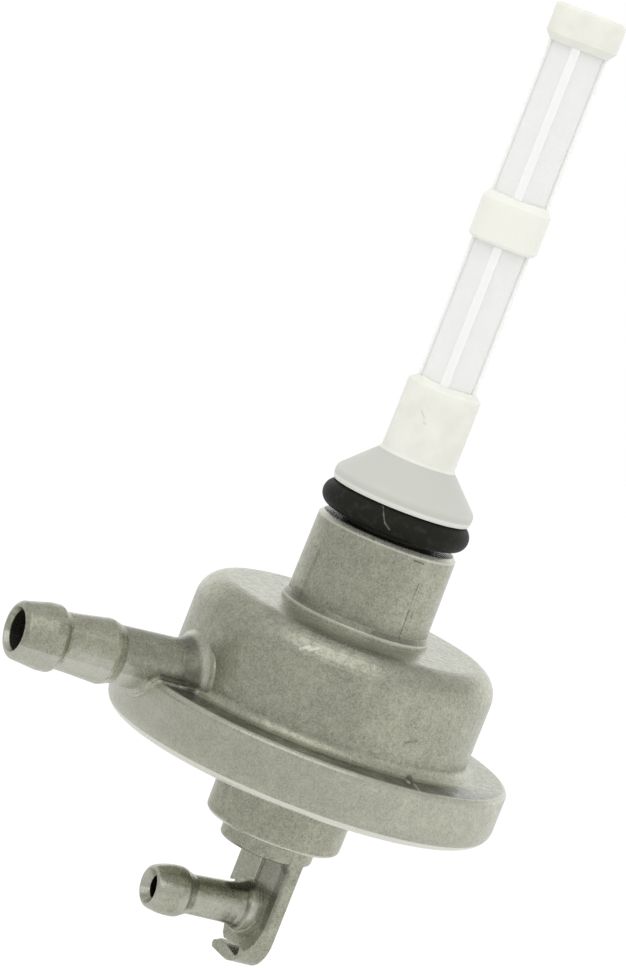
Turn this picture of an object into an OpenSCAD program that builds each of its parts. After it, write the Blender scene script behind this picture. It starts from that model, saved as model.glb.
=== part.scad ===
// Vacuum-operated fuel tap of a small petrol engine, in millimetres.
// A die-cast body pushes up into the neck of the tank, a moulded strainer stands above it,
// and a sprung valve between two diaphragms opens when the engine pulls a vacuum below them.
// The origin is on the axis, at the ledge where the spigot meets the top of the housing. +Z
// points up into the tank, and both hose connections point along -X.

/* [Tank spigot] */
// Radius of the spigot at its top
spigot_top_r = 9.4; // [9:0.05:9.5]
// Radius of the spigot at its foot, larger by the casting draft
spigot_foot_r = 9.55; // [9.5:0.05:9.8]
// Height of the spigot above the housing
spigot_h = 11.95; // [11:0.05:12.2]
// Radius of the narrow neck that carries the sealing ring
neck_r = 6.35; // [6.1:0.05:6.38]
// Height of the end of the neck, where the strainer's foot rests
neck_top = 16.2; // [16.2:0.05:17]

/* [Housing] */
// Radius of the round wall of the housing
dome_r = 20.4; // [20:0.1:21]
// Radius of the rounded shoulder at the top of the housing
shoulder_r = 3.8; // [2.5:0.1:4.5]
// Height of the housing's flat top
roof = -0.35; // [-0.6:0.05:-0.1]
// Radius of the crimped skirt
skirt_r = 26.6; // [26.2:0.1:27.5]
// Height of the top face of the skirt
skirt_top = -14; // [-14.1:0.05:-13.5]
// Height of the underside of the skirt's rolled lip
skirt_bottom = -21.6; // [-22:0.1:-20.9]

/* [Fuel outlet] */
// Distance from the housing wall to the outlet's tip, along the outlet
outlet_len = 24.55; // [23:0.05:30]
// Angle by which the outlet slopes down, in degrees
outlet_droop = 1.45; // [0:0.05:3]
// Radius of the outlet's bore
outlet_bore_r = 2.55; // [2:0.05:2.6]
// Largest radius of the outlet, on the land of its first barb
outlet_land_r = 4.35; // [4.1:0.05:4.8]

/* [Vacuum nipple] */
// Distance from the bracket's face to the nipple's tip, along the nipple
nipple_len = 14.8; // [12:0.1:20]
// Angle by which the nipple slopes down, in degrees
nipple_droop = 2; // [0:0.25:3]
// Radius of the nipple's bore
nipple_bore_r = 1.55; // [1:0.05:1.7]
// Largest radius of the nipple, on the land of its bulb
nipple_land_r = 3.33; // [3:0.01:3.8]

/* [Bottom cover] */
// Radius of the spring housing
boss_r = 9.27; // [8.8:0.05:10.5]
// Radius of the step below the spring housing, and half the bracket's width
step_r = 6.3; // [6:0.1:6.8]
// Height of the lowest point of the bracket
bracket_bottom = -47.75; // [-48.5:0.05:-47.65]

/* [Strainer] */
// Height of the top of the strainer
strainer_top = 83; // [82:0.5:86]
// Radius of the strainer's foot
foot_r = 9.42; // [9:0.02:9.6]
// Radius over the strainer's upright ribs
rib_r = 3.92; // [3.8:0.02:4.3]
// Width of an upright rib
rib_w = 1.1; // [0.8:0.1:1.4]
// Angle of the ribs about the axis, in degrees
strainer_turn = 56; // [0:1:89]

/* [Valve] */
// How far the valve drops when it opens
valve_travel = 1.2; // [0.8:0.1:1.2]
// Number of turns of the return spring, with its two closed ends
spring_turns = 6; // [5:1:7]
// Diameter of the return spring's wire
spring_wire = 0.9; // [0.6:0.1:1]

/* [Hidden] */
$fn = 96;
past = 1;              // how far a cutting shape runs past the face it opens
gap = 0.02;            // clearance between pieces that only touch
arc_steps = 9;         // chords in a quarter round of a turned profile

// Casting radii and small steps of the body
spigot_chamfer = 0.5;
ledge_r = spigot_foot_r + 0.5;
ledge_h = 0.9;
root_fillet = 1.35;
skirt_edge = 0.75;
roll_r = 2.4;
lip_inner_r = 23.4;
flash_w = 0.5;         // the mould's parting line along the spigot
flash_turn = -80;
flash_proud = 0.14;
flash_low = 1.2;
flash_high = 8.2;

// Heights of the clamped stack inside the skirt
pocket_r = 24.8;
stack_r = 24.75;
ledge_z = -15.8;
fuel_sheet_low = -16.6;
spacer_low = -18;
vacuum_sheet_low = -18.8;
cover_rim_low = -20;

// Fuel chamber and valve seat, cored in the body
chamber_r = 17.6;
chamber_top = -3;
chamber_corner = 2;
seat_r = 6.2;
seat_bore_r = 3.4;
seat_z = -11.2;
plug_bore_r = 5;
plug_bore_low = 6;

// Outlet: distances from the tip and the radii there
outlet_root = [-dome_r, 0, -12.8];
outlet_tip_r = 3;
outlet_nose_r = 3.85;
outlet_waist_r = 3.7;
outlet_second_r = 4.26;
outlet_neck_r = 3.77;
outlet_foot_r = 3.9;
land_from = 4.1;
land_to = 5.2;
second_barb = 12.5;

// Where the outlet joins the casting: a flare on the wall and a fillet on the skirt
flare_r = 4;
flare_end = 2.95;
saddle_steps = [[0.85, 0.25], [0.4, 0.6]];    // out from the outlet, up from the skirt

// Bottom cover
cover_floor = vacuum_sheet_low - valve_travel - 0.4;
cover_under = -21.7;
cover_chamber_r = 17.3;
well_r = 7.2;
well_floor = -28.2;
boss_bottom = -30.1;
step_bottom = -32.6;
boss_round = 0.8;
step_round = 0.5;

// Bracket below the cover: a plate across X that sweeps forward and ends in a hook
plate_front = 0.7;
plate_back = 2.7;
bracket_top = -29.9;
corner_r = 4.8;
far_side = [[0.4, -45.65], [2.4, -44.3], [5.4, -41]];
hook_front = -0.6;
sweep_top = -40.4;
sweep_r = 9.3;
hook_end = 2.75;
hook_tip_r = 0.55;
hook_lip = [0.9, -45.95];
slot_centre = [-3.8, -45.7];
slot_r = 0.7;
strip_front = 0.4;
strip_near = 0.3;
strip_low_near = -37.2;
strip_low_far = -39.3;
passage = [1.7, 1.2];
passage_r = 0.6;
nipple_root = [plate_front, 0, -40.65];
nipple_bore_end = 1.1;  // how far the nipple's bore runs into the plate, to meet the passage

// Strainer, from its plug up to its cap
plug_r = 4.97;
plug_low = 7;
plug_inner_r = 3.3;
tower_bore_r = 2.75;
tower_bore_top = 81;
cone_top = 22.2;
collar_top = 32.4;
collar_foot_r = 5;
collar_r = 4.93;
middle_low = 51.4;
middle_high = 57.8;
middle_r = 4.6;
cap_low = 78.1;
cap_r = 4.74;
mesh_t = 0.35;
mesh_corner = 3.45;    // distance from the axis to the mesh at a rib
mesh_bite = 0.9;       // how far the mesh runs into the moulding at each end

// Sealing ring on the neck
o_ring_section = 1.8;
o_ring_centre_r = 8.2;

// Valve, from its nose down to the spring
stem_r = 2;
hole_r = stem_r + gap;
nose_r = 2.75;
nose_top = -9.6;
groove_r = 2.2;
groove_top = -11.14;
groove_low = -12.98;
seal_section = 0.9;
seal_centre = [3.1, -12.06];
collar_step_r = 4.2;
collar_step_z = -14;
stem_collar_r = 5.5;
stem_collar_low = -15.2;
stem_low = -20.8;
washer_r = 7.5;
bush_r = 8;
spacer_inner_r = 17;
cup_r = 6.4;
cup_t = 0.6;
clip_r = 3.2;
clip_t = 0.5;
wave_from = 10;
wave_to = 16;
wave_h = 1.1;
coil_r = 4.6;
coil_sides = 10;
coil_steps = 28;

// Points along an arc about [cx, cy], from angle a0 to angle a1
function arc(cx, cy, r, a0, a1, n = arc_steps) =
    [for (i = [0:n]) let (a = a0 + (a1 - a0) * i / n) [cx + r * cos(a), cy + r * sin(a)]];

// A solid turned about the axis from a list of [radius, height] points
module turned(points) rotate_extrude() polygon(points);

// Turns +Z of what it holds outward along a hose connection
module along_outlet() translate(outlet_root) rotate([0, -90 - outlet_droop, 0]) children();
module along_nipple() translate(nipple_root) rotate([0, -90 - nipple_droop, 0]) children();

// Outside of the casting from the rolled lip up to the end of the neck
module body_outside() turned(concat(
    [[0, skirt_bottom]],
    arc(skirt_r - roll_r, skirt_bottom + roll_r, roll_r, -90, 0),
    arc(skirt_r - skirt_edge, skirt_top - skirt_edge, skirt_edge, 0, 90, 4),
    arc(dome_r + root_fillet, skirt_top + root_fillet, root_fillet, 270, 180),
    arc(dome_r - shoulder_r, roof - shoulder_r, shoulder_r, 0, 90),
    [[ledge_r, roof], [ledge_r - 0.05, 0.1], [spigot_foot_r, ledge_h],
    [spigot_top_r, spigot_h - spigot_chamfer], [spigot_top_r - spigot_chamfer, spigot_h],
    [neck_r, spigot_h], [neck_r, neck_top], [0, neck_top]]));

// Everything hollow on the axis: strainer bore, seat, fuel chamber and the crimped pocket
module body_hollow() turned(concat(
    [[0, skirt_bottom - past], [lip_inner_r, skirt_bottom - past], [lip_inner_r, cover_rim_low],
    [pocket_r, cover_rim_low], [pocket_r, ledge_z], [chamber_r, ledge_z]],
    arc(chamber_r - chamber_corner, chamber_top - chamber_corner, chamber_corner, 0, 90, 6),
    [[seat_r + 1, chamber_top], [seat_r, chamber_top - 1], [seat_r, seat_z + 0.3],
    [seat_r - 0.3, seat_z], [seat_bore_r, seat_z], [seat_bore_r, plug_bore_low - 1],
    [plug_bore_r, plug_bore_low], [plug_bore_r, neck_top + past], [0, neck_top + past]]));

// The outlet's outside, with two barbs, from inside the wall to the rounded tip
module outlet_outside() turned(concat(
    [[0, -3], [outlet_foot_r + 0.61 * flare_r, -3], [outlet_foot_r + 0.61 * flare_r, -0.85]],
    arc(outlet_foot_r + flare_r, flare_end, flare_r, 245, 180, 10),
    [[outlet_neck_r, outlet_len - second_barb - 1.7],
    [outlet_neck_r + 0.12, outlet_len - second_barb - 1.3],
    [outlet_second_r - 0.1, outlet_len - second_barb - 0.5],
    [outlet_second_r, outlet_len - second_barb],
    [outlet_waist_r + 0.1, outlet_len - 8], [outlet_waist_r, outlet_len - 6.4],
    [outlet_waist_r + 0.12, outlet_len - 6], [outlet_land_r - 0.15, outlet_len - land_to - 0.35],
    [outlet_land_r, outlet_len - land_to], [outlet_land_r, outlet_len - land_from],
    [outlet_nose_r, outlet_len - 1.1]],
    arc(outlet_tip_r, outlet_len - 0.8, 0.8, 0, 90, 6),
    [[0, outlet_len]]));

// Fillet between the outlet's underside and the skirt, over its top face and down its side
module outlet_saddle() for (step = saddle_steps) intersection() {
    along_outlet() cylinder(h = skirt_r - dome_r + past, r = outlet_foot_r + step[0]);
    turned(concat([[0, skirt_bottom + roll_r], [skirt_r + step[1], skirt_bottom + roll_r]],
        arc(skirt_r - skirt_edge, skirt_top - skirt_edge, skirt_edge + step[1], 0, 90, 5),
        [[0, skirt_top + step[1]]]));
}

module body() color([0.62, 0.62, 0.57]) difference() {
    union() {
        body_outside();
        along_outlet() outlet_outside();
        outlet_saddle();
        rotate([0, 0, flash_turn]) translate([spigot_top_r - 0.5, -flash_w / 2, flash_low])
            cube([0.5 + flash_proud, flash_w, flash_high - flash_low]);
    }
    body_hollow();
    along_outlet() translate([0, 0, -5]) cylinder(h = outlet_len + 5 + past, r = outlet_bore_r);
    along_outlet() translate([0, 0, outlet_len - 0.65])
        cylinder(h = 1, r1 = outlet_bore_r, r2 = outlet_bore_r + 0.5);
}

module tank_o_ring() color([0.07, 0.07, 0.07])
    translate([0, 0, neck_top - o_ring_section - gap]) rotate_extrude()
        translate([o_ring_centre_r, 0]) circle(r = o_ring_section);

// A square sleeve with its corners cut off, one corner behind each rib
function sleeve(grow) = let (a = mesh_corner + grow, b = rib_w / 2 + grow * (sqrt(2) - 1))
    [for (q = [0:3]) each [for (s = [-1, 1]) [a * cos(90 * q) - s * b * sin(90 * q),
        a * sin(90 * q) + s * b * cos(90 * q)]]];

module mesh_sleeve(low, high) rotate([0, 0, strainer_turn])
    translate([0, 0, low - mesh_bite]) linear_extrude(height = high - low + 2 * mesh_bite)
        difference() {
            polygon(sleeve(0));
            polygon(sleeve(-mesh_t));
        }

module strainer_mesh_lower() color([0.93, 0.94, 0.9]) mesh_sleeve(collar_top, middle_low);
module strainer_mesh_upper() color([0.93, 0.94, 0.9]) mesh_sleeve(middle_high, cap_low);

// Plug, cone foot and lower collar of the strainer
module strainer_foot() turned(concat(
    [[0, plug_low], [plug_r - 0.4, plug_low], [plug_r, plug_low + 0.8], [plug_r, neck_top],
    [foot_r - 0.2, neck_top], [foot_r - 0.02, neck_top + 0.6]],
    arc(foot_r - 1, neck_top + 1.2, 1, 0, 45, 5),
    [[collar_foot_r + 0.25, cone_top - 0.25], [collar_foot_r, cone_top + 0.2],
    [collar_r, collar_top - 0.7], [rib_r, collar_top], [0, collar_top]]));

module strainer_middle() turned([[0, middle_low], [middle_r - 0.4, middle_low],
    [middle_r, middle_low + 0.4], [middle_r, middle_high - 0.9],
    [rib_r, middle_high], [0, middle_high]]);

module strainer_cap() turned(concat(
    [[0, cap_low], [rib_r, cap_low], [cap_r, cap_low + 1]],
    arc(cap_r - 0.5, strainer_top - 0.5, 0.5, 0, 90, 5),
    [[0, strainer_top]]));

module strainer_frame() color([0.9, 0.91, 0.87]) difference() {
    union() {
        strainer_foot();
        strainer_middle();
        strainer_cap();
        rotate([0, 0, strainer_turn]) for (q = [0:3]) rotate([0, 0, 90 * q])
            translate([1, -rib_w / 2, collar_top - past])
                cube([rib_r - 1, rib_w, cap_low - collar_top + 2 * past]);
    }
    translate([0, 0, plug_low - past]) cylinder(h = neck_top + 4 - plug_low, r = plug_inner_r);
    translate([0, 0, plug_low]) cylinder(h = tower_bore_top - plug_low, r = tower_bore_r);
    mesh_sleeve(collar_top, middle_low);
    mesh_sleeve(middle_high, cap_low);
}

// A clamped rubber sheet with one convolution, swelling up (up = 1) or down (up = -1)
module diaphragm(low, high, up) turned(concat(
    [[hole_r, low]],
    [for (r = [wave_from:0.5:wave_to]) [r, low + up * wave(r)]],
    [[stack_r, low], [stack_r, high]],
    [for (r = [wave_to:-0.5:wave_from]) [r, high + up * wave(r)]],
    [[hole_r, high]]));
function wave(r) = wave_h * pow(sin(180 * (r - wave_from) / (wave_to - wave_from)), 2);

module fuel_diaphragm() color([0.12, 0.12, 0.13]) diaphragm(fuel_sheet_low, ledge_z, 1);
module vacuum_diaphragm() color([0.12, 0.12, 0.13]) diaphragm(vacuum_sheet_low, spacer_low, -1);

module diaphragm_spacer() color([0.25, 0.25, 0.27]) turned([[spacer_inner_r, spacer_low],
    [stack_r, spacer_low], [stack_r, fuel_sheet_low], [spacer_inner_r, fuel_sheet_low]]);

// Rim, dished plate, spring housing and step of the cover, all on the axis
module cover_outside() turned(concat(
    [[0, step_bottom]],
    arc(step_r - step_round, step_bottom + step_round, step_round, -90, 0),
    [[step_r, boss_bottom]],
    arc(boss_r - 0.1 - boss_round, boss_bottom + boss_round, boss_round, -90, 0),
    arc(boss_r + 1.2, cover_under - 1.2, 1.2, 180, 90, 5),
    [[cover_chamber_r + 0.6, cover_under], [cover_chamber_r + 2.3, cover_rim_low],
    [stack_r, cover_rim_low], [stack_r, vacuum_sheet_low], [0, vacuum_sheet_low]]));

module cover_hollow() turned([[0, well_floor], [well_r - 0.5, well_floor],
    [well_r, well_floor + 0.5], [well_r, cover_floor - 0.3], [well_r + 0.3, cover_floor],
    [cover_chamber_r - 0.8, cover_floor], [cover_chamber_r, cover_floor + 0.8],
    [cover_chamber_r, vacuum_sheet_low + past], [0, vacuum_sheet_low + past]]);

// Extrudes an outline drawn in the Y-Z plane from x = from to x = to
module across(from, to) translate([from, 0, 0]) rotate([90, 0, 90])
    linear_extrude(height = to - from) children();

// Outline of the bracket: a hook below, then the slot above it, then the far side
function bracket_outline() = concat(
    [[-step_r, bracket_top]],
    arc(-step_r + corner_r, bracket_bottom + corner_r, corner_r, 180, 270),
    arc(hook_end - hook_tip_r, bracket_bottom + hook_tip_r, hook_tip_r, -90, 90, 8),
    [hook_lip],
    arc(slot_centre[0], slot_centre[1], slot_r, 270, 90, 8),
    far_side,
    [[far_side[2][0], bracket_top]]);

// The bracket's plate, whose front sweeps forward below sweep_top
module bracket() difference() {
    across(hook_front, plate_back) polygon(bracket_outline());
    translate([plate_front - sweep_r, step_r + past, sweep_top]) rotate([90, 0, 0])
        cylinder(h = 2 * (step_r + past), r = sweep_r);
    translate([hook_front - past, -step_r - past, sweep_top])
        cube([plate_front - hook_front + past, 2 * (step_r + past), bracket_top - sweep_top + past]);
}

// The nipple's outside: collar, stem and barrel-shaped bulb
module nipple_outside() turned(concat(
    [[0, -1], [3.6, -1], [3.6, 0.3], [3.5, 0.8], [3.35, 1.3], [3.05, 1.7], [2.85, 2.4],
    [2.72, 3.4], [2.6, nipple_len - 6.1], [2.68, nipple_len - 5.8], [3, nipple_len - 5],
    [nipple_land_r - 0.08, nipple_len - 4.5], [nipple_land_r, nipple_len - 4],
    [nipple_land_r, nipple_len - 3], [nipple_land_r - 0.12, nipple_len - 1.9],
    [nipple_land_r - 0.35, nipple_len - 0.9]],
    arc(2.2, nipple_len - 0.65, 0.65, 20, 90, 5),
    [[0, nipple_len]]));

module bottom_cover() color([0.62, 0.62, 0.57]) difference() {
    union() {
        cover_outside();
        bracket();
        across(strip_front, plate_back) polygon([[strip_near, bracket_top],
            [strip_near, strip_low_near], [step_r, strip_low_far], [step_r, bracket_top]]);
        along_nipple() nipple_outside();
    }
    cover_hollow();
    translate([passage[0], passage[1], nipple_root[2]])
        cylinder(h = well_floor - nipple_root[2] + past, r = passage_r);
    along_nipple() translate([0, 0, -nipple_bore_end])
        cylinder(h = nipple_len + nipple_bore_end + past, r = nipple_bore_r);
    along_nipple() translate([0, 0, nipple_len - 1.15])
        cylinder(h = 1.5, r1 = nipple_bore_r, r2 = nipple_bore_r + 0.98);
}

module valve_stem() color([0.75, 0.65, 0.4]) turned([[0, stem_low], [stem_r - 0.3, stem_low],
    [stem_r, stem_low + 0.4], [stem_r, stem_collar_low], [stem_collar_r, stem_collar_low],
    [stem_collar_r, collar_step_z], [collar_step_r, collar_step_z], [collar_step_r, groove_low],
    [groove_r, groove_low], [groove_r, groove_top], [nose_r, groove_top], [nose_r, nose_top - 1],
    [nose_r - 1.1, nose_top], [0, nose_top]]);

module valve_seal() color([0.07, 0.07, 0.07]) rotate_extrude()
    translate([seal_centre[0] + gap / 2, seal_centre[1]]) circle(r = seal_section);

// A flat ring threaded on the valve stem
module ring(low, high, r) color([0.7, 0.7, 0.7]) translate([0, 0, low]) difference() {
    cylinder(h = high - low, r = r);
    translate([0, 0, -past]) cylinder(h = high - low + 2 * past, r = hole_r);
}

module upper_washer() ring(ledge_z, stem_collar_low, washer_r);
module spacer_bush() ring(spacer_low, fuel_sheet_low, bush_r);

module spring_cup() color([0.7, 0.7, 0.7]) turned([[hole_r, vacuum_sheet_low],
    [hole_r, vacuum_sheet_low - cup_t], [cup_r - cup_t, vacuum_sheet_low - cup_t],
    [cup_r - cup_t, stem_low], [cup_r, stem_low], [cup_r, vacuum_sheet_low - 0.4],
    [cup_r - 0.4, vacuum_sheet_low]]);

module stem_clip() ring(vacuum_sheet_low - cup_t - clip_t, vacuum_sheet_low - cup_t, clip_r);

// Height of the wire after t turns: one closed turn at each end, open turns between
coil_low = well_floor + spring_wire / 2 + gap;
coil_high = vacuum_sheet_low - cup_t - spring_wire / 2 - gap;
closed_pitch = spring_wire + gap;
open_pitch = (coil_high - coil_low - 2 * closed_pitch) / (spring_turns - 2);
function coil_z(t) = t < 1 ? coil_low + closed_pitch * t
    : t < spring_turns - 1 ? coil_low + closed_pitch + open_pitch * (t - 1)
    : coil_high - closed_pitch * (spring_turns - t);

module return_spring() color([0.75, 0.75, 0.76]) {
    rings = spring_turns * coil_steps;
    points = [for (i = [0:rings]) let (t = i / coil_steps, a = 360 * t)
        for (k = [0:coil_sides - 1]) let (b = 360 * k / coil_sides)
            let (r = coil_r + spring_wire / 2 * cos(b))
                [r * cos(a), r * sin(a), coil_z(t) + spring_wire / 2 * sin(b)]];
    sides = [for (i = [0:rings - 1]) for (k = [0:coil_sides - 1])
        let (n = (k + 1) % coil_sides, p = i * coil_sides)
            [p + k, p + n, p + coil_sides + n, p + coil_sides + k]];
    ends = [[for (k = [coil_sides - 1:-1:0]) k], [for (k = [0:coil_sides - 1]) rings * coil_sides + k]];
    polyhedron(points, concat(sides, ends), convexity = 10);
}

body();
tank_o_ring();
strainer_frame();
strainer_mesh_lower();
strainer_mesh_upper();
fuel_diaphragm();
diaphragm_spacer();
vacuum_diaphragm();
bottom_cover();
valve_stem();
valve_seal();
upper_washer();
spacer_bush();
spring_cup();
stem_clip();
return_spring();
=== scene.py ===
"""Looks of the fuel tap: camera, light, cast metal, translucent nylon, rubber and small surface marks."""
import math

import bpy
import bmesh
from mathutils import Matrix, Vector


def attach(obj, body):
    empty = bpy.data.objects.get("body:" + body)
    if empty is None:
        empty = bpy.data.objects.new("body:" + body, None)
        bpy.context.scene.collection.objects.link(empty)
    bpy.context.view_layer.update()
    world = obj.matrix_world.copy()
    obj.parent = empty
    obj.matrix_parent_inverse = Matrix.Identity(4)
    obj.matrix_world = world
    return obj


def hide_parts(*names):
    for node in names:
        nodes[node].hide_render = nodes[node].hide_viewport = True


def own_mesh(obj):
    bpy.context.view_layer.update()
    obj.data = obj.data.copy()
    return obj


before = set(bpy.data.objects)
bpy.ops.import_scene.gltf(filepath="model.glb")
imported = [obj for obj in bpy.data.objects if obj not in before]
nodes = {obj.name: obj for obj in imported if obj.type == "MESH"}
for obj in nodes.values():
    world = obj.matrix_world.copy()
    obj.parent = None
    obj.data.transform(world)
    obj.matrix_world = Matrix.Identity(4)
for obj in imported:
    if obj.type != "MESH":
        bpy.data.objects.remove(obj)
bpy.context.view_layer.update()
scene = bpy.context.scene
scene.view_settings.view_transform = "Standard"
MM = 0.001
# Surroundings as metal sees them: the level all round, then how much lighter they are near the
# horizon to the camera's right and ahead of it; and the floor's darkest and lightest level
AROUND, LEFT, RIGHT, AHEAD = 0.61, -0.04, 0.22, 0.5
FLOOR_SEEN, FLOOR_AHEAD = (0.6, 0.93), 0.82

# Camera: where the photograph was taken from, in the row frame
CAMERA_AT = Vector((-266.0, -456.5, 84.0)) * MM
HEADING = Vector((0.485, 0.875, 0.0)).normalized()
PITCH = math.radians(7.53)
ROLL = math.radians(21.3)
LENS = 154.26


def place_camera():
    right = Vector((HEADING.y, -HEADING.x, 0))
    forward = HEADING * math.cos(PITCH) - Vector((0, 0, math.sin(PITCH)))
    up = right.cross(forward)
    across = right * math.cos(ROLL) + up * math.sin(ROLL)
    above = up * math.cos(ROLL) - right * math.sin(ROLL)
    data = bpy.data.cameras.new("camera")
    data.lens, data.sensor_width = LENS, 36
    data.clip_start, data.clip_end = 0.02, 20
    camera = bpy.data.objects.new("camera", data)
    scene.collection.objects.link(camera)
    turn = Matrix((across, above, -forward)).transposed().to_4x4()
    camera.matrix_world = Matrix.Translation(CAMERA_AT) @ turn
    scene.camera = camera


# Small helpers for node trees
class Tree:
    """A material's or the world's node tree, with one short call per node."""

    def __init__(self, tree):
        self.tree = tree
        tree.nodes.clear()

    def add(self, kind, **sockets):
        """A node of that kind. Keywords set properties, or inputs by name with spaces as underscores."""
        made = self.tree.nodes.new(kind)
        for key, value in sockets.items():
            name = key.replace("_", " ")
            found = next((s for s in made.inputs if s.name == name), None)
            if found is None:
                setattr(made, key, value)
            elif isinstance(value, bpy.types.NodeSocket):
                self.tree.links.new(value, found)
            else:
                found.default_value = value
        return made

    def link(self, out, to):
        self.tree.links.new(out, to)

    def place(self, scale=(1, 1, 1)):
        """Object coordinates in millimetres."""
        coord = self.add("ShaderNodeTexCoord")
        mapped = self.add("ShaderNodeMapping", Vector=coord.outputs["Object"])
        mapped.inputs["Scale"].default_value = [1000 * s for s in scale]
        return mapped.outputs[0]

    def noise(self, where, size, detail=3.0, rough=0.55, distort=0.0):
        """Noise whose features are about size millimetres across."""
        made = self.add("ShaderNodeTexNoise", Vector=where, Scale=1 / size, Detail=detail,
                        Roughness=rough, Distortion=distort)
        return made.outputs["Fac"]

    def ramp(self, value, low, high, to_low=0.0, to_high=1.0):
        made = self.add("ShaderNodeMapRange", Value=value)
        for name, number in zip(("From Min", "From Max", "To Min", "To Max"),
                                (low, high, to_low, to_high)):
            made.inputs[name].default_value = number
        made.interpolation_type = "SMOOTHSTEP"
        return made.outputs[0]

    def maths(self, operation, a, b):
        made = self.add("ShaderNodeMath", operation=operation)
        for socket, value in zip(made.inputs, (a, b)):
            if isinstance(value, bpy.types.NodeSocket):
                self.link(value, socket)
            else:
                socket.default_value = value
        return made.outputs[0]

    def mix(self, factor, a, b):
        """Blends two colours."""
        made = self.add("ShaderNodeMix", data_type="RGBA")
        for socket, value in zip((made.inputs[0], made.inputs[6], made.inputs[7]), (factor, a, b)):
            if isinstance(value, bpy.types.NodeSocket):
                self.link(value, socket)
            else:
                socket.default_value = value if isinstance(value, (int, float)) else (*value, 1)
        return made.outputs[2]

    def stroke(self, where, start, end, width, soft=0.5):
        """1 within width millimetres of the line from start to end, 0 beyond it."""
        line = Vector(end) - Vector(start)
        out = self.add("ShaderNodeVectorMath", operation="SUBTRACT")
        self.link(where, out.inputs[0])
        out.inputs[1].default_value = start
        share = self.along(out.outputs[0], line / max(line.length_squared, 1e-6))
        share = self.maths("MINIMUM", self.maths("MAXIMUM", share, 0.0), 1.0)
        foot = self.add("ShaderNodeVectorMath", operation="SCALE")
        foot.inputs[0].default_value = line
        self.link(share, foot.inputs["Scale"])
        gap = self.add("ShaderNodeVectorMath", operation="DISTANCE")
        self.link(out.outputs[0], gap.inputs[0])
        self.link(foot.outputs[0], gap.inputs[1])
        return self.ramp(gap.outputs["Value"], width * (1 - soft), width, 1.0, 0.0)

    def along(self, where, direction):
        """How far a point lies in that direction."""
        made = self.add("ShaderNodeVectorMath", operation="DOT_PRODUCT")
        self.link(where, made.inputs[0])
        made.inputs[1].default_value = direction
        return made.outputs["Value"]

    def split(self, where):
        """Distance from the axis and height, in millimetres."""
        parts = self.add("ShaderNodeSeparateXYZ", Vector=where).outputs
        flat = self.add("ShaderNodeCombineXYZ", X=parts["X"], Y=parts["Y"]).outputs[0]
        radius = self.add("ShaderNodeVectorMath", operation="LENGTH")
        self.link(flat, radius.inputs[0])
        return radius.outputs["Value"], parts["Z"]

    def band(self, value, low, high, soft):
        """1 between low and high, fading to 0 over soft on both sides."""
        return self.maths("MULTIPLY", self.ramp(value, low - soft, low),
                          self.ramp(value, high, high + soft, 1.0, 0.0))

    def bump(self, height, depth, strength=1.0, normal=None):
        """Bump of a height field, with depth in millimetres."""
        made = self.add("ShaderNodeBump", Height=height, Strength=strength, Distance=depth * MM)
        if normal is not None:
            self.link(normal, made.inputs["Normal"])
        return made.outputs[0]


def material(name):
    made = bpy.data.materials.new(name)
    made.use_nodes = True
    tree = Tree(made.node_tree)
    shader = tree.add("ShaderNodeBsdfPrincipled")
    out = tree.add("ShaderNodeOutputMaterial")
    tree.link(shader.outputs[0], out.inputs[0])
    return made, tree, shader


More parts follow.
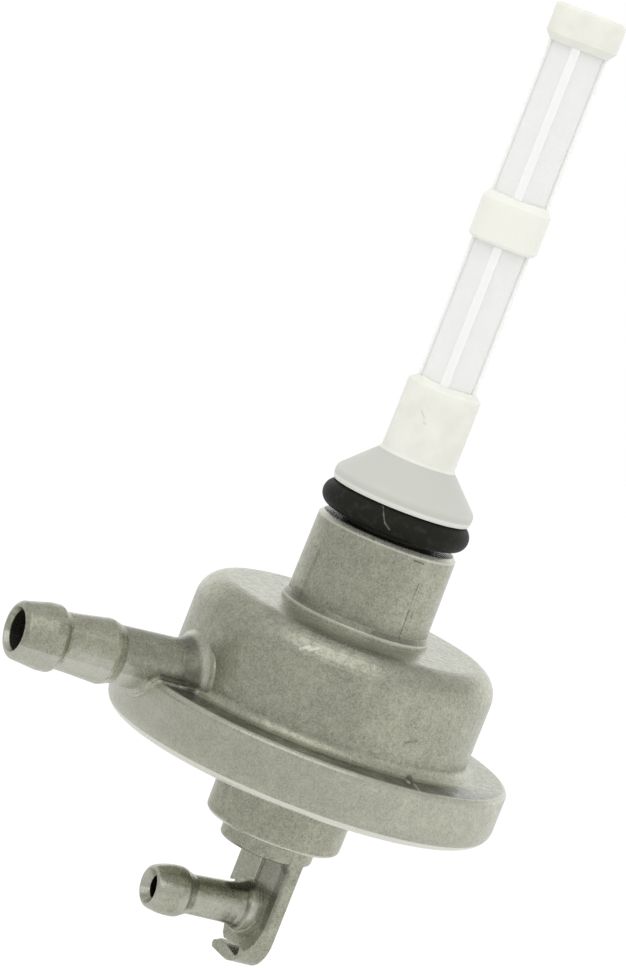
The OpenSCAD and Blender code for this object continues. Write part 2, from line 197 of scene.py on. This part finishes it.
# Marks on the casting, with painted highlights and painted shade among them, in millimetres: start, end,
# width, and how much lighter (+) or darker (-)
MARKS_AND_PAINTED_LIGHT = (
    ((-14.2, -14.5, -3.1), (-13.3, -14.9, -2.4), 0.26, 0.7),
    ((-13.3, -15.1, -2.8), (-12.4, -15.5, -2.2), 0.24, 0.6),
    ((3.9, -20.3, -14.0), (1.3, -25.4, -14.0), 0.6, -0.6),
    ((2.95, -21.8, -14.0), (2.45, -23.1, -14.0), 0.36, 1.0),
    ((3.4, -22.9, -14.0), (2.6, -26.0, -14.0), 0.28, 0.55),
    ((1.5, -20.4, -9.7), (3.1, -20.2, -9.2), 0.24, -0.3),
    ((-0.5, -9.4, 10.9), (1.0, -9.4, 10.8), 0.16, -0.6),
    ((1.5, -9.4, 4.6), (1.6, -9.5, 0.6), 0.14, -0.5),
    ((2.2, -9.25, 4.3), (2.3, -9.2, 3.6), 0.2, -0.4),
    ((-9.4, -1.3, 7.2), (-9.45, -1.2, 0.9), 0.45, -0.22),
    ((-9.6, 0.6, 1.2), (-9.3, -2.2, 0.9), 0.9, -0.3),
    ((17.3, -20.2, -14.3), (19.1, -18.5, -15.9), 0.24, 0.35),
    ((-8.4, -25.25, -15.1), (-3.3, -26.4, -15.3), 0.14, 0.3),
    # painted shade on the outlet's front side near its root
    ((-21.0, -3.9, -13.5), (-25.3, -3.95, -13.4), 0.4, -0.5),
    # painted highlight along the fillet where the outlet meets the skirt
    ((-20.6, -5.2, -13.7), (-22.6, -4.7, -13.75), 0.42, 0.7),
    ((-22.6, -4.7, -13.75), (-25.9, -4.7, -13.75), 0.4, 0.6),
    ((-25.9, -4.7, -13.75), (-26.9, -3.6, -15.4), 0.6, 0.45),
    ((-26.9, -3.6, -15.4), (-27.0, -2.0, -16.9), 0.7, 0.4),
    ((-27.0, -2.0, -16.9), (-26.8, 0.5, -17.0), 0.9, 0.35),
    # painted shade on top of the nipple's stem near its root
    ((-0.7, -1.0, -37.9), (-3.0, -0.8, -38.0), 1.25, -0.75),
    # painted highlight along the front of the nipple's stem
    ((-9.5, -2.6, -41.6), (-1.8, -2.9, -41.6), 2.0, 0.3),
    ((-14.6, 0, -41.2), (-14.0, 0, -41.2), 4.6, 0.35),
    ((-12.8, -2.4, -39.5), (-11.4, -2.6, -39.4), 1.3, 0.2),
    # painted highlight along the front of the outlet's barbs
    ((-37.5, -3.4, -14.6), (-30.5, -3.4, -14.5), 2.2, 0.36),
    # painted shade in the bracket's corner by its rib, under the boss's edge and under the nipple's stem
    ((0.7, -5.6, -33.4), (0.7, -5.7, -41.0), 1.1, -0.45),
    ((0.7, -4.6, -33.1), (0.7, -5.9, -33.4), 0.6, -0.5),
    ((-0.9, -1.6, -43.0), (-2.6, -1.6, -43.0), 0.5, -0.5),
    ((0.5, 0.3, -31), (0.5, 0.3, -38), 0.24, 0.6),
)
# Bands round the axis painted lighter (+) or darker (-): lowest and highest point, nearest and farthest
# from the axis. The lighter ones are painted highlights and painted reflections of the floor on edges and
# rims; the darker one is on the cone at the spigot's foot
EDGES = (
    # painted highlights on the spigot's top chamfer and on the ledge at its foot
    (11.25, 11.95, 8.8, 9.5, 0.42),
    (-0.1, 0.12, 9.95, 10.1, 0.42),
    (0.26, 0.8, 9.4, 10.0, -0.3),
    # painted highlight on the skirt's top edge
    (-14.45, -13.95, 25.9, 26.7, 0.2),
    # painted reflections of the floor on the skirt's lower rim and under the boss
    (-21.7, -20.6, 23.0, 26.7, 0.9),
    (-30.2, -29.7, 8.2, 9.1, 0.6),
)
# Pale lines on the sealing ring: a hair, and a thin line low along its front
RING_MARKS = (
    ((-6.1, -6.65, 16.0), (-6.15, -7.7, 15.1), 0.13),
    ((-6.15, -7.7, 15.1), (-5.8, -8.15, 14.2), 0.13),
    ((-5.8, -8.15, 14.2), (-5.0, -8.45, 13.6), 0.16),
    ((-1.2, -8.9, 12.75), (0.9, -8.95, 12.75), 0.1),
    ((0.9, -8.95, 12.75), (3.1, -8.6, 12.85), 0.1),
)
# The two hose passages, each a line down its middle and its radius; the metal inside them is painted nearly
# black as shade
BORES = (((-44.95, 0, -13.42), (-15.4, 0, -12.67), 2.6), ((-14.1, 0, -41.17), (0.4, 0, -40.66), 1.6))


def cast_metal():
    """Grey die-cast metal: grain, blotches, pits and nicks, with painted highlights and painted floor
    reflections on edges and rims, and painted shade in corners, round the hose connections and in its
    bores.
    """
    made, t, s = material("cast_metal")
    where = t.place()
    grain = t.noise(where, 0.24, 4, 0.65)
    pores = t.noise(where, 0.6, 4, 0.6)
    mottle = t.noise(where, 1.3, 3, 0.6)
    blotch = t.noise(where, 3.5, 3, 0.5)
    colour = t.mix(t.ramp(blotch, 0.35, 0.65), (0.352, 0.357, 0.271), (0.447, 0.452, 0.34))
    colour = t.mix(t.ramp(mottle, 0.33, 0.67, 0.5, 0), colour, (0.233, 0.237, 0.177))
    colour = t.mix(t.ramp(pores, 0.35, 0.7, 0, 0.5), colour, (0.195, 0.197, 0.14))
    colour = t.mix(t.ramp(grain, 0.3, 0.7, 0, 0.6), colour, (0.61, 0.615, 0.515))
    radius, height = t.split(where)
    # Painted light: the skirt's outer side is painted lighter, more so at its left end near the outlet
    skirt = t.maths("MULTIPLY", t.ramp(radius, 25.6, 26.1), t.ramp(height, -14.6, -14.3, 1, 0))
    skirt = t.maths("MULTIPLY", skirt, t.ramp(t.along(where, (1, 0, 0)), -26.2, -23.5, 0.5, 0.22))
    colour = t.mix(skirt, colour, (0.7, 0.7, 0.62))
    front = t.along(where, -HEADING)
    worn = t.maths("MULTIPLY", t.band(height, -2.8, -0.9, 0.4),
                   t.ramp(t.along(where, (-0.66, -0.75, 0)), 14.5, 18))
    worn = t.maths("MULTIPLY", worn, t.ramp(t.noise(where, 0.9, 3), 0.45, 0.62, 0, 0.3))
    colour = t.mix(worn, colour, (0.62, 0.625, 0.57))

    # Painted shade: darker on the skirt's top face, on the dome's top in front of the spigot, at the
    # spigot's foot, round both hose connections, on the bracket plate, in the groove by the nipple's collar
    # and on the boss under the skirt; at the outlet's root it is partly grime
    step = t.maths("MULTIPLY", t.band(height, -14.1, -13.7, 0.15), t.band(radius, 22.2, 25.6, 0.5))
    step = t.maths("MULTIPLY", step, t.ramp(front, 3, 15, 0.12, 1))
    step = t.maths("MULTIPLY", step, t.ramp(t.noise(where, 2.2, 3), 0.3, 0.6, 0.5, 0.85))
    foot = t.maths("MULTIPLY", t.band(height, -1.3, -0.3, 0.4), t.ramp(radius, 17.4, 19.6, 0.57, 0.0))
    foot = t.maths("MULTIPLY", foot, t.ramp(front, 13, 18.5))
    base = t.maths("MULTIPLY", t.band(height, 0.2, 0.6, 2.4), t.ramp(radius, 9.9, 10.1, 1, 0))
    base = t.maths("MULTIPLY", base, t.ramp(height, 0.1, 0.2, 0, 0.22))
    along_x = t.along(where, (1, 0, 0))
    root = t.maths("ADD", t.ramp(along_x, -31.4, -30.9, 0.03, 0.24), t.ramp(along_x, -23.8, -22.2, 0, 0.33))
    root = t.maths("MULTIPLY", root, t.stroke(where, (-46, 0, -13.5), (-20, 0, -13.3), 5.3, 0.08))
    root = t.maths("MULTIPLY", root, t.maths("MAXIMUM", t.ramp(height, -14.4, -14.1),
                                             t.ramp(along_x, -27.4, -26.9, 1, 0)))
    root = t.maths("MULTIPLY", root, t.ramp(height, -15.4, -13.4, 0.15, 1))
    plate = t.maths("SUBTRACT", t.stroke(where, (1, -1, -36.5), (0, -1, -39.7), 5.8, 0.5),
                    t.stroke(where, (1, 0, -40.6), (-2, 0, -40.7), 3.8, 0.04))
    plate = t.maths("MULTIPLY", plate, t.ramp(t.along(where, (0, 1, 0)), 0, 0.3, 0.26, 0.05))
    plate = t.maths("MULTIPLY", plate, t.ramp(along_x, 1.2, 1.8, 1, 0))
    groove = t.maths("MULTIPLY", t.stroke(where, (0, 0, -40.7), (-2, 0, -40.8), 3.4, 0.1),
                     t.band(along_x, -1.0, -0.7, 0.15))
    groove = t.maths("MULTIPLY", groove, 0.6)
    shade = t.maths("MULTIPLY", t.band(height, -22.6, -21.9, 0.8), t.ramp(radius, 9.4, 9.8, 0.07, 0))
    shade_and_grime = step
    for more in (foot, base, root, plate, groove, shade):
        shade_and_grime = t.maths("MAXIMUM", shade_and_grime, more)
    colour = t.mix(shade_and_grime, colour, (0.02, 0.02, 0.013))

    # Painted highlights: the rim of the outlet's flare and the nipple's collar are painted lighter, where
    # they catch the light
    rim = t.maths("SUBTRACT", t.stroke(where, (-18, 0, -13.3), (-20.6, 0, -13.3), 6.05, 0.05),
                  t.stroke(where, (-18, 0, -13.3), (-20.6, 0, -13.3), 5.45, 0.05))
    rim = t.maths("MULTIPLY", rim, t.ramp(along_x, -22, -21.6))
    rim = t.maths("MULTIPLY", rim, t.ramp(height, -13.9, -13.5, 0, 0.5))
    rim = t.maths("MULTIPLY", rim, t.ramp(t.along(where, (0, 1, 0)), -4.4, -2.2, 1, 0.4))
    collar = t.maths("MULTIPLY", t.stroke(where, (1, 0, -40.64), (0, 0, -40.67), 3.75, 0.04),
                     t.band(along_x, -0.5, 0.6, 0.1))
    rim = t.maths("MAXIMUM", rim, t.maths("MULTIPLY", collar, 0.75))
    colour = t.mix(rim, colour, (0.66, 0.665, 0.58))
    for start, end, width, change in MARKS_AND_PAINTED_LIGHT:
        mark = t.maths("MULTIPLY", t.stroke(where, start, end, width), abs(change))
        colour = t.mix(mark, colour, (0.72, 0.72, 0.65) if change > 0 else (0.04, 0.04, 0.028))
    for low, high, near, far, share in EDGES:
        edge = t.maths("MULTIPLY", t.band(height, low, high, 0.08), t.band(radius, near, far, 0.08))
        edge = t.maths("MULTIPLY", edge, abs(share))
        colour = t.mix(edge, colour, (0.85, 0.85, 0.76) if share > 0 else (0.04, 0.04, 0.028))
    # Painted shade: the spigot's top face under the sealing ring and the inside of both hose bores are
    # painted nearly black
    hollow_shade = t.maths("MULTIPLY", t.ramp(height, 11.9, 11.94), t.ramp(radius, 8.7, 9.0, 1.0, 0.0))
    for start, end, bore in BORES:
        hollow_shade = t.maths("MAXIMUM", hollow_shade, t.stroke(where, start, end, bore, 0.03))
    colour = t.mix(t.maths("MULTIPLY", hollow_shade, 0.93), colour, (0.012, 0.012, 0.009))
    t.link(colour, s.inputs["Base Color"])
    s.inputs["Metallic"].default_value = 0.85
    t.link(t.ramp(pores, 0.3, 0.7, 0.22, 0.32), s.inputs["Roughness"])
    rounded = t.add("ShaderNodeBevel", Radius=0.12 * MM)
    rounded.samples = 4
    fine = t.bump(grain, 0.02, 0.6, rounded.outputs[0])
    t.link(t.bump(pores, 0.05, 0.6, fine), s.inputs["Normal"])
    return made


def nylon():
    """White translucent moulding, greyer in the thick foot, with a paler rim round its base."""
    made, t, s = material("nylon")
    where = t.place()
    cloud = t.noise(where, 4.0, 3)
    fine = t.noise(where, 0.6, 2)
    colour = t.mix(t.ramp(cloud, 0.35, 0.65), (0.78, 0.78, 0.708), (0.83, 0.83, 0.763))
    height = t.split(where)[1]
    for low, high in ((32.6, 51.2), (58.0, 77.9)):
        colour = t.mix(t.band(height, low, high, 0.3), colour, (0.97, 0.98, 0.93))
    colour = t.mix(t.band(height, 51.6, 57.6, 0.3), colour, (0.845, 0.847, 0.776))
    foot = t.band(height, 16.95, 21.9, 0.25)
    colour = t.mix(foot, colour, (0.575, 0.58, 0.53))
    for start, end in (((-3.9, -3.1, 28.6), (-3.4, -3.6, 27.9)), ((-3.3, -3.7, 27.3), (-3.1, -3.9, 27.2))):
        colour = t.mix(t.maths("MULTIPLY", t.stroke(where, start, end, 0.16), 0.35), colour,
                       (0.5, 0.5, 0.42))
    t.link(colour, s.inputs["Base Color"])
    s.inputs["Roughness"].default_value = 0.45
    s.inputs["IOR"].default_value = 1.53
    s.inputs["Subsurface Weight"].default_value = 0.5
    s.inputs["Subsurface Radius"].default_value = (1.0, 0.95, 0.85)
    s.inputs["Subsurface Scale"].default_value = 1.2 * MM
    t.link(t.bump(t.maths("ADD", fine, cloud), 0.04, 0.5), s.inputs["Normal"])
    return made


def woven_mesh():
    """The strainer's screen: a fine weave of white nylon thread."""
    made, t, s = material("nylon_mesh")
    where = t.place()
    cloud = t.noise(where, 3.0, 3)
    waves = []
    for axis in ("X", "Z"):
        wave = t.add("ShaderNodeTexWave", Vector=where, Scale=0.9, Distortion=0.3)
        wave.bands_direction = axis
        waves.append(wave.outputs["Fac"])
    weave = t.maths("MULTIPLY", *waves)
    colour = t.mix(t.ramp(cloud, 0.3, 0.7), (0.98, 0.985, 0.93), (1.0, 1.0, 0.96))
    colour = t.mix(t.ramp(weave, 0.1, 0.5, 0.1, 0), colour, (0.85, 0.87, 0.8))
    t.link(colour, s.inputs["Base Color"])
    s.inputs["Roughness"].default_value = 0.5
    s.inputs["Subsurface Weight"].default_value = 0.5
    s.inputs["Subsurface Radius"].default_value = (1.0, 0.95, 0.85)
    s.inputs["Subsurface Scale"].default_value = 1.2 * MM
    t.link(t.bump(weave, 0.02, 0.5), s.inputs["Normal"])
    return made


def rubber(name, colour, rough, marks=()):
    """Black rubber or plastic, a little dusty. Marks are pale lines on it: start, end and width."""
    made, t, s = material(name)
    where = t.place()
    dust = t.noise(where, 1.2, 4, 0.6)
    fine = t.noise(where, 0.3, 3)
    tone = t.mix(t.ramp(dust, 0.5, 0.75, 0, 0.5), colour, [c * 2.2 + 0.01 for c in colour])
    for start, end, width in marks:
        mark = t.maths("MULTIPLY", t.stroke(where, start, end, width), 0.45)
        tone = t.mix(mark, tone, (0.22, 0.22, 0.18))
    t.link(tone, s.inputs["Base Color"])
    t.link(t.ramp(fine, 0.3, 0.7, rough - 0.06, rough + 0.1), s.inputs["Roughness"])
    s.inputs["Specular IOR Level"].default_value = 0.11
    t.link(t.bump(fine, 0.02, 0.4), s.inputs["Normal"])
    return made


def turned_metal(name, colour, rough):
    """Machined or pressed metal with fine turning lines round the axis."""
    made, t, s = material(name)
    where = t.place()
    lines = t.add("ShaderNodeTexNoise", Vector=t.place((0.05, 0.05, 6)), Scale=1.0, Detail=2.0)
    tint = t.noise(where, 1.5, 3)
    tone = t.mix(t.ramp(tint, 0.3, 0.7), [c * 0.85 for c in colour], colour)
    t.link(tone, s.inputs["Base Color"])
    s.inputs["Metallic"].default_value = 1.0
    t.link(t.ramp(lines.outputs["Fac"], 0.3, 0.7, rough - 0.06, rough + 0.08), s.inputs["Roughness"])
    t.link(t.bump(lines.outputs["Fac"], 0.01, 0.5), s.inputs["Normal"])
    return made


def dress(made, *names):
    for name in names:
        held = nodes[name].data.materials
        held.clear()
        held.append(made)


def soft_spring():
    """The return spring again, as its own piece with its own mesh on the tap, with the original hidden."""
    coil = bpy.data.objects.new("spring_coil", nodes["return_spring"].data.copy())
    scene.collection.objects.link(coil)
    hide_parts("return_spring")
    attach(coil, "tap")
    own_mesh(coil)


def light_and_floor():
    """Even pale surroundings, darker behind the camera as metal sees them, over a pale floor."""
    world = bpy.data.worlds.new("surroundings")
    scene.world = world
    world.use_nodes = True
    t = Tree(world.node_tree)
    path = t.add("ShaderNodeLightPath").outputs
    seen = t.maths("MAXIMUM", path["Is Camera Ray"], path["Is Transmission Ray"])
    away = t.add("ShaderNodeTexCoord").outputs["Generated"]
    right = t.along(away, (HEADING.y, -HEADING.x, 0))
    extra = t.maths("ADD", t.ramp(right, -1, 0, LEFT, 0), t.ramp(right, 0.2, 1, 0, RIGHT))
    extra = t.maths("ADD", extra, t.ramp(t.along(away, HEADING), 0.35, 0.95, 0, AHEAD))
    low = t.ramp(t.along(away, (0, 0, 1)), 0.25, 0.65, 1.0, 0.0)
    level = t.maths("ADD", AROUND, t.maths("MULTIPLY", extra, low))
    shown = t.add("ShaderNodeMix", data_type="FLOAT", Factor=path["Is Glossy Ray"], A=1.0, B=level)
    level = t.maths("MAXIMUM", shown.outputs[0], seen)
    colour = t.add("ShaderNodeCombineColor", Red=level, Green=level, Blue=level).outputs[0]
    back = t.add("ShaderNodeBackground", Color=colour, Strength=1.0)
    out = t.add("ShaderNodeOutputWorld")
    t.link(back.outputs[0], out.inputs[0])

    data = bpy.data.lights.new("key", "AREA")
    data.size, data.energy = 0.7, 0.75
    lamp = bpy.data.objects.new("key", data)
    scene.collection.objects.link(lamp)
    lamp.location = (-0.25, -0.34, 0.5)
    lamp.rotation_mode = "QUATERNION"
    lamp.rotation_quaternion = (-lamp.location).to_track_quat("-Z", "Y")

    shape = bmesh.new()
    bmesh.ops.create_circle(shape, cap_ends=True, radius=1.5, segments=96)
    mesh = bpy.data.meshes.new("floor")
    shape.to_mesh(mesh)
    shape.free()
    floor = bpy.data.objects.new("floor", mesh)
    floor.location = (0, 0, -0.13)
    scene.collection.objects.link(floor)
    made, t, s = material("floor")
    path = t.add("ShaderNodeLightPath").outputs
    far = t.along(t.add("ShaderNodeTexCoord").outputs["Object"], (0.99, 0.14, 0))
    level = t.ramp(far, -0.42, 0.6, *FLOOR_SEEN)
    ahead = t.along(t.add("ShaderNodeTexCoord").outputs["Object"], HEADING)
    level = t.maths("MAXIMUM", level, t.ramp(ahead, 0.25, 0.65, FLOOR_SEEN[0], FLOOR_AHEAD))
    tone = t.add("ShaderNodeMix", data_type="FLOAT", Factor=path["Is Glossy Ray"], A=0.88, B=level)
    tone = tone.outputs[0]
    tone = t.add("ShaderNodeCombineColor", Red=tone, Green=tone, Blue=tone).outputs[0]
    t.link(tone, s.inputs["Base Color"])
    s.inputs["Roughness"].default_value = 0.9
    seen = t.maths("MAXIMUM", path["Is Camera Ray"], path["Is Transmission Ray"])
    s.inputs["Emission Color"].default_value = (1, 1, 1, 1)
    t.link(t.maths("MULTIPLY", seen, 0.15), s.inputs["Emission Strength"])
    mesh.materials.append(made)


place_camera()
light_and_floor()
dress(cast_metal(), "body", "bottom_cover")
dress(nylon(), "strainer_frame")
dress(woven_mesh(), "strainer_mesh_lower", "strainer_mesh_upper")
dress(rubber("rubber", (0.014, 0.0145, 0.011), 0.5, RING_MARKS), "tank_o_ring", "valve_seal")
dress(rubber("sheet_rubber", (0.03, 0.03, 0.032), 0.55), "fuel_diaphragm", "vacuum_diaphragm")
dress(rubber("spacer_plastic", (0.05, 0.05, 0.055), 0.5), "diaphragm_spacer")
dress(turned_metal("brass", (0.75, 0.58, 0.3), 0.3), "valve_stem")
dress(turned_metal("steel", (0.62, 0.62, 0.63), 0.32), "upper_washer", "spacer_bush",
      "spring_cup", "stem_clip", "return_spring")
soft_spring()
